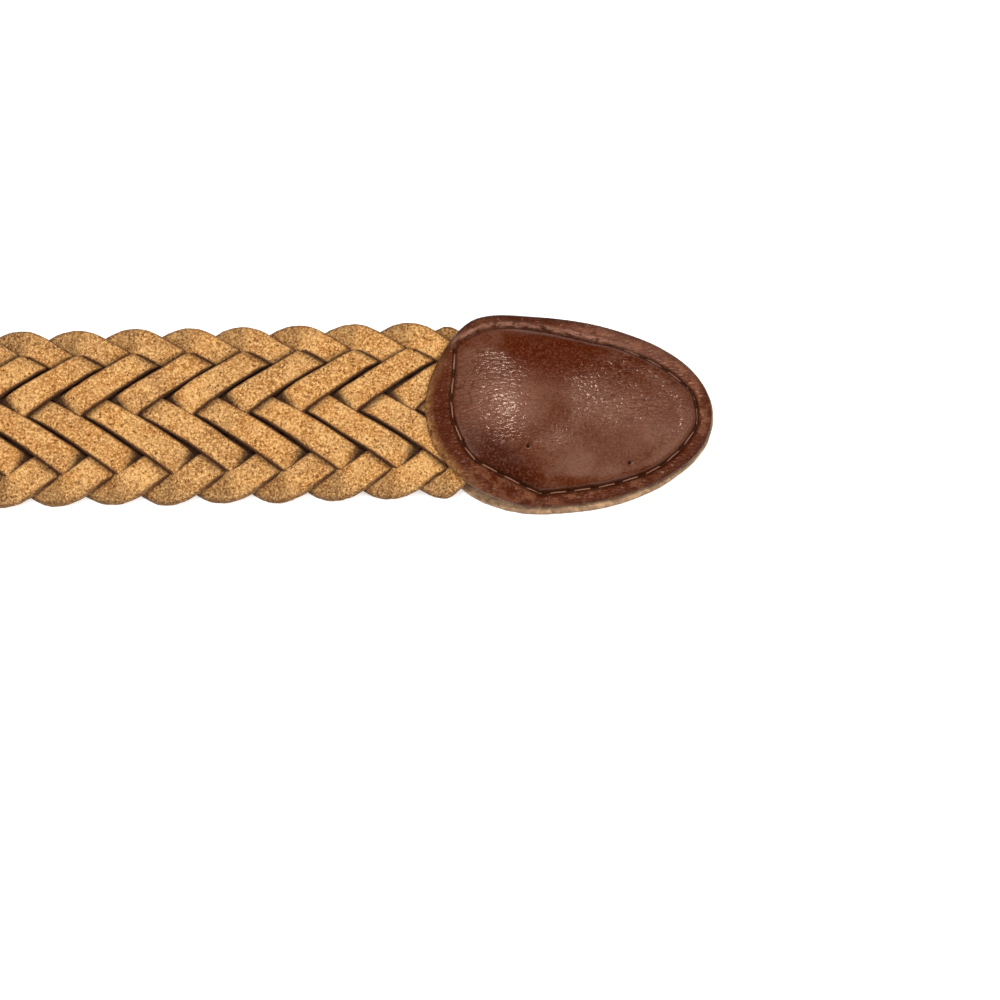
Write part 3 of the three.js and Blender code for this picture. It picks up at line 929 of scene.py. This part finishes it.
def makeTipMaterial():
    material, tree, shader = nodeMaterial("tipLeather")
    look = tipLook
    place = objectPlace(tree)
    grain = placeGroup(
        tree,
        leatherGrain,
        {
            "Place": place,
            "Creased Place": stretched(tree, place, (2.7, 1, 1), turn=3),
            "Pebble Scale": look["pebbleScale"],
            "Crease Scale": look["creaseScale"],
        },
    )
    nap = placeGroup(tree, suedeNap, {"Place": place, "Fibre Scale": look["fibreScale"]})
    spots = {name: softSpot(tree, place, *spot) for name, spot in tipSpots.items()}
    masks = {name: vertexValue(tree, name) for name in ("rim", "rimEdge", "scuff", "groove", "ridge")}
    broad = spread(tree, noiseOf(tree, place, 120.0, 3.0, 0.6), 0.35, 0.65)
    fine = noiseOf(tree, place, look["pebbleScale"], 2.0, 0.6)

    creasedHere = stronger(tree, spots["creasedLeft"], spots["creasedRight"])
    creasedHere = maths(tree, "MULTIPLY_ADD", creasedHere, 0.8, 0.2)
    # painted shade in the creases
    lines = maths(tree, "MULTIPLY", spread(tree, grain.outputs["Creases"], 0.38, 0.0), creasedHere)
    coats = [
        # painted shade: the unlit top of the dome
        (spots["orangeShade"], 0.9, "domeOrangeShade"),
        # painted shade on the lower left flank
        (spots["dark"], 0.95, "domeDarkAndShade"),
        (spread(tree, fine, 0.47, 0.67), 0.55, "domeGrey"),
        (spread(tree, fine, 0.47, 0.3), 0.6, "domeDarkAndShade"),
        # painted shade in the creases
        (lines, 0.95, "domeDarkAndShade"),
    ]
    dome = painted(tree, look, mixColour(tree, broad, look["dome"], look["domeGrey"]), coats)
    # painted highlight at the left and painted sheen at the right, in the lip's pale colour
    paintedHighlightLeft = maths(tree, "MULTIPLY", spots["paintedHighlightLeft"], 0.3)
    paintedSheenRight = maths(tree, "MULTIPLY", spots["paintedSheenRight"], 0.16)
    dome = mixColour(tree, stronger(tree, paintedHighlightLeft, paintedSheenRight), dome, look["ridge"])
    # painted shade in the pits
    for pit in tipShape["pits"]:
        dome = mixColour(tree, softSpot(tree, place, pit, (0.5, 0.5)), dome, look["pit"])

    rimPatch = spread(tree, noiseOf(tree, place, 420.0, 3.0, 0.65), 0.43, 0.58)
    darkRim = stronger(tree, stronger(tree, spots["leftRim"], spots["lowRim"]), spots["highRim"])
    rim = mixColour(tree, rimPatch, look["rimDark"], look["rim"])
    rim = mixColour(tree, darkRim, rim, look["rimDark"])
    rim = painted(tree, look, rim, [(spots["topRim"], 0.3, "ridge")])

    torn = spread(tree, noiseOf(tree, place, 620.0, 4.0, 0.7), 0.34, 0.46)
    ridge = maths(tree, "MULTIPLY", masks["ridge"], torn)
    # painted shade in the cracks of the torn lip
    crackShade = maths(tree, "MULTIPLY", masks["ridge"], maths(tree, "SUBTRACT", 1.0, torn))
    rubbed = maths(tree, "MULTIPLY", masks["scuff"], spread(tree, nap.outputs["Fuzz"], 0.55, 0.95))
    coats = [
        (masks["rimEdge"], 0.6, "groove"),
        (rubbed, 1, "scuffTan"),
        # painted shade in the seam groove
        (masks["groove"], 0.85, "groove"),
        (crackShade, 0.8, "groove"),
        (ridge, 0.95, "ridge"),
    ]
    colour = painted(tree, look, mixColour(tree, masks["rim"], dome, rim), coats)
    roughness = maths(tree, "MULTIPLY_ADD", masks["rim"], 0.14, look["roughness"])
    roughness = maths(tree, "MULTIPLY_ADD", fine, 0.08, roughness)
    feed(tree, shader, {"Base Color": colour, "Roughness": roughness})
    feed(tree, shader, {"Specular IOR Level": look["specular"], "Specular Tint": look["shineTint"]})

    deepLeft = maths(tree, "MULTIPLY", spots["creasedLeft"], 0.55)
    deepRight = maths(tree, "MULTIPLY", spots["creasedRight"], 0.9)
    depth = maths(tree, "MULTIPLY_ADD", stronger(tree, deepLeft, deepRight), 0.4, 0.05)
    depth = maths(tree, "ADD", masks["rim"], depth)
    pebbles = maths(tree, "MULTIPLY", grain.outputs["Pebbles"], 0.06)
    height = maths(tree, "MULTIPLY_ADD", grain.outputs["Creases"], depth, pebbles)
    height = maths(tree, "MULTIPLY_ADD", ridge, 1.6, height)
    feed(tree, shader, {"Normal": bumpFrom(tree, height, 0.7, 0.14 * mm)})
    return material


rawLook = {
    "tan": (0.36, 0.22, 0.12),
    "brown": (0.24, 0.14, 0.08),
    "pale": (0.55, 0.34, 0.18),
    "dark": (0.10, 0.05, 0.03),
    "roughness": 0.85,
    "specular": 0.25,
}


def makeRawMaterial():
    # the backing's undyed leather, brushed up like the laces
    material, tree, shader = nodeMaterial("rawLeather")
    place = objectPlace(tree)
    nap = placeGroup(tree, suedeNap, {"Place": place, "Fibre Scale": 1700.0})
    broad = spread(tree, noiseOf(tree, place, 210.0, 3.0, 0.6), 0.35, 0.65)
    coats = [(nap.outputs["Pale"], 0.6, "pale"), (nap.outputs["Dark"], 0.6, "dark")]
    colour = mixColour(tree, broad, rawLook["tan"], rawLook["brown"])
    colour = painted(tree, rawLook, colour, coats)
    normal = bumpFrom(tree, nap.outputs["Fuzz"], 0.4, 0.2 * mm)
    feed(tree, shader, {"Base Color": colour, "Normal": normal, "Roughness": rawLook["roughness"]})
    feed(tree, shader, {"Specular IOR Level": rawLook["specular"]})
    return material


backing = {
    "thickness": 1.4 * mm,
    "round": 0.3 * mm,
    "proud": 0.25 * mm,
    "proudBelow": 0.8 * mm,
    "ragged": 0.08 * mm,
    "sideRows": 9,
    "flatRows": [0.0, 0.35, 0.7, 0.9],  # as shares of the way out to the edge
}


def makeTipBack(material):
    # the backing shows past the front along its lower side and round its end
    last = backing["sideRows"] - 1
    rows = [("under", share) for share in backing["flatRows"]]
    rows += [("side", k / last) for k in range(last + 1)]
    rows += [("top", share) for share in reversed(backing["flatRows"])]
    bm = bmesh.new()
    for vert, column, row in laidGrid(bm, len(tipAngles), len(rows)):
        angle = tipAngles[column]
        zone, share = rows[row]
        outwards = Vector((math.cos(angle), math.sin(angle)))
        edge = radiusAt(outlineTable, angle) + backing["proud"]
        edge += backing["proudBelow"] * smoothstep(outwards.dot(Vector((-0.1, -1))), 0, 0.85)
        edge += backing["ragged"] * noise.noise((angle * 14, 3.0, 0.0))
        if zone == "side":
            turn = math.pi * (share - 0.5)
            radius = edge - backing["round"] * (1 - abs(math.cos(turn)) ** 0.5)
            z = backing["thickness"] * (0.5 + 0.5 * signedPower(math.sin(turn), 0.5))
        else:
            radius = (edge - backing["round"]) * share
            z = 0.0 if zone == "under" else backing["thickness"]
        vert.co = (*(tipMiddle + outwards * radius), z)
    closeShape(bm)
    finishPiece("tip_backing", bm, material, "backing_leather", "tip_back")


threadLook = {"colour": (0.13, 0.04, 0.018), "pale": (0.26, 0.11, 0.06), "roughness": 0.5}


def makeThreadMaterial():
    material, tree, shader = nodeMaterial("waxedThread")
    twist = tree.nodes.new("ShaderNodeTexWave")
    feed(tree, twist, {"Vector": objectPlace(tree), "Scale": 900.0, "Distortion": 1.5})
    colour = mixColour(tree, twist.outputs["Fac"], threadLook["colour"], threadLook["pale"])
    normal = bumpFrom(tree, twist.outputs["Fac"], 0.4, 0.08 * mm)
    feed(tree, shader, {"Base Color": colour, "Normal": normal, "Roughness": threadLook["roughness"]})
    return material


def addStitch(bm, start, end):
    # a length of thread that dips into the leather at both ends
    radius = seamStitch["radius"]
    made = bmesh.ops.create_uvsphere(bm, u_segments=8, v_segments=10, radius=radius)["verts"]
    run = end - start
    middle = (start + end) / 2
    turn = run.to_track_quat("Z", "Y").to_matrix()
    stretch = run.length / 2 - radius
    for vert in made:
        side = 0 if abs(vert.co.z) < radius * 0.05 else math.copysign(1, vert.co.z)
        local = Vector((vert.co.x, vert.co.y, vert.co.z + side * stretch))
        sag = radius * 1.3 * (local.z / (run.length / 2)) ** 4
        vert.co = middle + turn @ local - Vector((0, 0, sag))


def seamPlace(travel):
    x = float(np.interp(travel, seamTravel, [point.x for point in seamRing]))
    y = float(np.interp(travel, seamTravel, [point.y for point in seamRing]))
    return Vector((x, y, rimUnderZ(x) + tip["wall"] - seamStitch["sunk"]))


def makeTipStitches(material):
    bm = bmesh.new()
    travel = seamStitch["first"]
    while travel + seamStitch["length"] < stitchedTravel:
        addStitch(bm, seamPlace(travel), seamPlace(travel + seamStitch["length"]))
        travel += seamStitch["pitch"]
    finishPiece("tip_stitches", bm, material, "tip_leather")


tipMaterial = makeTipMaterial()
rawMaterial = makeRawMaterial()
threadMaterial = makeThreadMaterial()
makeTipFront(tipMaterial)
makeTipBack(rawMaterial)
makeTipStitches(threadMaterial)
print("tip sewn")


# The buckle end: a leather fold round the bar of a plain frame, with a fused prong
chape = {
    "wall": 1.6 * mm,
    "barRadius": 2.0 * mm,
    "barGap": 0.3 * mm,
    "bendSteps": 20,
    "sideSteps": 8,
    "edgeRound": 0.35 * mm,
    "slotHalf": 2.3 * mm,
    "slotReach": 5.85 * mm,
    "stitchPitch": 3.6 * mm,
    "stitchLength": 2.6 * mm,
    "stitchInset": 2.6 * mm,
    "stitchProud": 0.06 * mm,
}
barX = buckleHigh.x - chape["barRadius"]
barZ = chape["wall"] + chape["barGap"] + chape["barRadius"]


def makeChape(material):
    # the middle of the leather's thickness, from the lower end round the bar to the upper end
    radius = chape["barRadius"] + chape["barGap"] + chape["wall"] / 2
    flat = chapeHigh.x - barX
    slotStart = chape["slotReach"] / flat
    stops = [0.0, 0.25, 0.5, 0.7, 1 - slotStart, 1 - slotStart / 2]
    path = [(chapeHigh.x - flat * share, chape["wall"] / 2) for share in stops]
    for step in range(chape["bendSteps"] + 1):
        angle = -math.pi / 2 - math.pi * step / chape["bendSteps"]
        path.append((barX + radius * math.cos(angle), barZ + radius * math.sin(angle)))
    path += [(x, 2 * barZ - z) for x, z in reversed(path[: len(stops)])]
    half = (chapeHigh.y - chapeLow.y) / 2
    slot = chape["slotHalf"]
    across = [slot + (half - slot) * k / chape["sideSteps"] for k in range(chape["sideSteps"] + 1)]
    across = [-y for y in reversed(across)] + across
    bm = bmesh.new()
    for vert, column, row in laidGrid(bm, len(path), len(across)):
        x, z = path[column]
        vert.co = (x, across[row], z)
    opening = []
    for face in bm.faces:
        middle = face.calc_center_median()
        isInSlot = abs(middle.y) < slot and middle.x < barX + chape["slotReach"]
        if isInSlot and middle.z > chape["wall"]:
            opening.append(face)
    bmesh.ops.delete(bm, geom=opening, context="FACES")
    bmesh.ops.recalc_face_normals(bm, faces=bm.faces[:])
    piece = finishPiece("chape_fold", bm, material, "chape_leather", "buckle_chape")
    wall = piece.modifiers.new("wall", "SOLIDIFY")
    wall.thickness = chape["wall"]
    wall.offset = 0
    broken = piece.modifiers.new("broken edges", "BEVEL")
    broken.width = chape["edgeRound"]
    broken.segments = 3
    broken.limit_method = "ANGLE"
    broken.angle_limit = math.radians(50)


def makeChapeStitches(material):
    bm = bmesh.new()
    top = 2 * barZ + chape["stitchProud"]
    inset = chape["stitchInset"]
    half = (chapeHigh.y - chapeLow.y) / 2 - inset
    first = chapeHigh.x - inset
    last = barX + chape["slotReach"] + inset
    lines = [
        (Vector((first, -half, top)), Vector((first, half, top))),
        (Vector((first, -half, top)), Vector((last, -half, top))),
        (Vector((first, half, top)), Vector((last, half, top))),
        (Vector((last, -half, top)), Vector((last, half, top))),
    ]
    for start, end in lines:
        count = round((end - start).length / chape["stitchPitch"])
        step = (end - start) / count
        for k in range(count):
            middle = start + step * (k + 0.5)
            reach = step.normalized() * chape["stitchLength"] / 2
            addStitch(bm, middle - reach, middle + reach)
    finishPiece("chape_stitches", bm, material, "chape_leather")


buckle = {
    "width": 49 * mm,
    "wire": 5.2 * mm,
    "farCorner": 9 * mm,
    "room": 0.8 * mm,
    "cornerSteps": 14,
    "straightSteps": 8,
    "sides": 28,
    "prongWidth": 3.4 * mm,
    "prongHeight": 2.6 * mm,
    "prongSunk": 0.2,
    "prongArch": 0.5,
    "prongTaper": 0.75,
    "prongBlunt": 1.3 * mm,
    "prongSteps": 48,
}


def buckleZ(x):
    away = (barX - x) / (buckleHigh.x - buckleLow.x - buckle["wire"])
    return mix(barZ, chape["barRadius"], smoothstep(away, 0, 1))


def framePath():
    # the frame's middle line in plan, with the direction that faces out of the loop
    left = buckleLow.x + buckle["wire"] / 2
    half = (buckle["width"] - buckle["wire"]) / 2
    bend = half - lace["bandWidth"] / 2 - buckle["room"]
    corner = buckle["farCorner"]
    corners = [
        (barX - bend, half - bend, bend, 0),
        (left + corner, half - corner, corner, 1),
        (left + corner, corner - half, corner, 2),
        (barX - bend, bend - half, bend, 3),
    ]
    stops = []
    for x, y, radius, turn in corners:
        for step in range(buckle["cornerSteps"] + 1):
            angle = (turn + step / buckle["cornerSteps"]) * math.pi / 2
            stops.append((x + radius * math.cos(angle), y + radius * math.sin(angle), angle))
    filled = []
    for here, there in zip(stops, stops[1:] + stops[:1]):
        isStraight = math.dist(here[:2], there[:2]) > 5 * mm
        pieces = buckle["straightSteps"] if isStraight else 1
        for k in range(pieces):
            share = k / pieces
            filled.append((mix(here[0], there[0], share), mix(here[1], there[1], share), here[2]))
    return filled


def makeFrame(material):
    stops = framePath()
    bm = bmesh.new()
    for vert, column, row in laidGrid(bm, len(stops) + 1, buckle["sides"] + 1):
        x, y, angle = stops[column % len(stops)]
        onBar = min(max((x - barX + chape["barRadius"]) / chape["barRadius"], 0), 1)
        turn = 2 * math.pi * row / buckle["sides"]
        out = mix(buckle["wire"] / 2, chape["barRadius"], onBar) * math.cos(turn)
        z = buckleZ(x) + chape["barRadius"] * math.sin(turn)
        vert.co = (x + out * math.cos(angle), y + out * math.sin(angle), z)
    closeShape(bm)
    finishPiece("buckle_frame", bm, material, "buckle_metal", "buckle")


def makeProng(material):
    farX = buckleLow.x + buckle["wire"] / 3
    seat = buckle["prongHeight"] * (0.5 - buckle["prongSunk"])
    nearZ = barZ + chape["barRadius"] - seat
    farZ = buckleZ(farX) + chape["barRadius"] + seat * buckle["prongTaper"]
    arch = buckle["prongHeight"] * buckle["prongArch"]
    bm = bmesh.new()
    for vert, column, row in laidGrid(bm, buckle["prongSteps"] + 1, buckle["sides"] + 1):
        share = (1 - math.cos(math.pi * column / buckle["prongSteps"])) / 2
        z = mix(nearZ, farZ, share) + arch * math.sin(math.pi * share)
        fromEnd = min(share, 1 - share) * (barX - farX)
        blunt = math.sqrt(1 - max(1 - fromEnd / buckle["prongBlunt"], 0) ** 2)
        size = mix(1, buckle["prongTaper"], share) / 2 * blunt
        turn = 2 * math.pi * row / buckle["sides"]
        y = buckle["prongWidth"] * size * math.cos(turn)
        vert.co = (mix(barX, farX, share), y, z + buckle["prongHeight"] * size * math.sin(turn))
    closeShape(bm)
    finishPiece("buckle_prong", bm, material, "buckle_metal", "buckle")


endLook = {
    "chapeRoughness": 0.48,
    "brass": (0.44, 0.33, 0.16),
    "oldBrass": (0.28, 0.20, 0.10),
    "brassRoughness": (0.26, 0.42),
}


def makeChapeMaterial():
    material, tree, shader = nodeMaterial("chapeLeather")
    place = objectPlace(tree)
    grain = placeGroup(
        tree,
        leatherGrain,
        {
            "Place": place,
            "Creased Place": stretched(tree, place, (1, 2, 1)),
            "Pebble Scale": 1900.0,
            "Crease Scale": 1300.0,
        },
    )
    broad = spread(tree, noiseOf(tree, place, 150.0, 3.0, 0.6), 0.3, 0.7)
    # painted shade in the creases
    lines = spread(tree, grain.outputs["Creases"], 0.3, 0.0)
    colour = mixColour(tree, broad, tipLook["dome"], tipLook["domeGrey"])
    colour = painted(tree, tipLook, colour, [(lines, 0.2, "domeDarkAndShade")])
    height = maths(tree, "MULTIPLY_ADD", grain.outputs["Creases"], 0.4, grain.outputs["Pebbles"])
    feed(tree, shader, {"Base Color": colour, "Roughness": endLook["chapeRoughness"]})
    feed(tree, shader, {"Normal": bumpFrom(tree, height, 0.3, 0.06 * mm)})
    return material


def makeBuckleMaterial():
    material, tree, shader = nodeMaterial("agedBrass")
    place = objectPlace(tree)
    rubbed = noiseOf(tree, place, 300.0, 4.0, 0.6)
    brushed = noiseOf(tree, stretched(tree, place, (8, 1, 1)), 9600.0, 2.0, 0.5)
    colour = mixColour(tree, spread(tree, rubbed, 0.35, 0.65), endLook["brass"], endLook["oldBrass"])
    roughness = spread(tree, rubbed, 0.3, 0.7, *endLook["brassRoughness"])
    feed(tree, shader, {"Base Color": colour, "Metallic": 1.0, "Roughness": roughness})
    feed(tree, shader, {"Normal": bumpFrom(tree, brushed, 0.12, 0.05 * mm)})
    return material


makeChape(makeChapeMaterial())
makeChapeStitches(threadMaterial)
brass = makeBuckleMaterial()
makeFrame(brass)
makeProng(brass)
print("buckle end made")
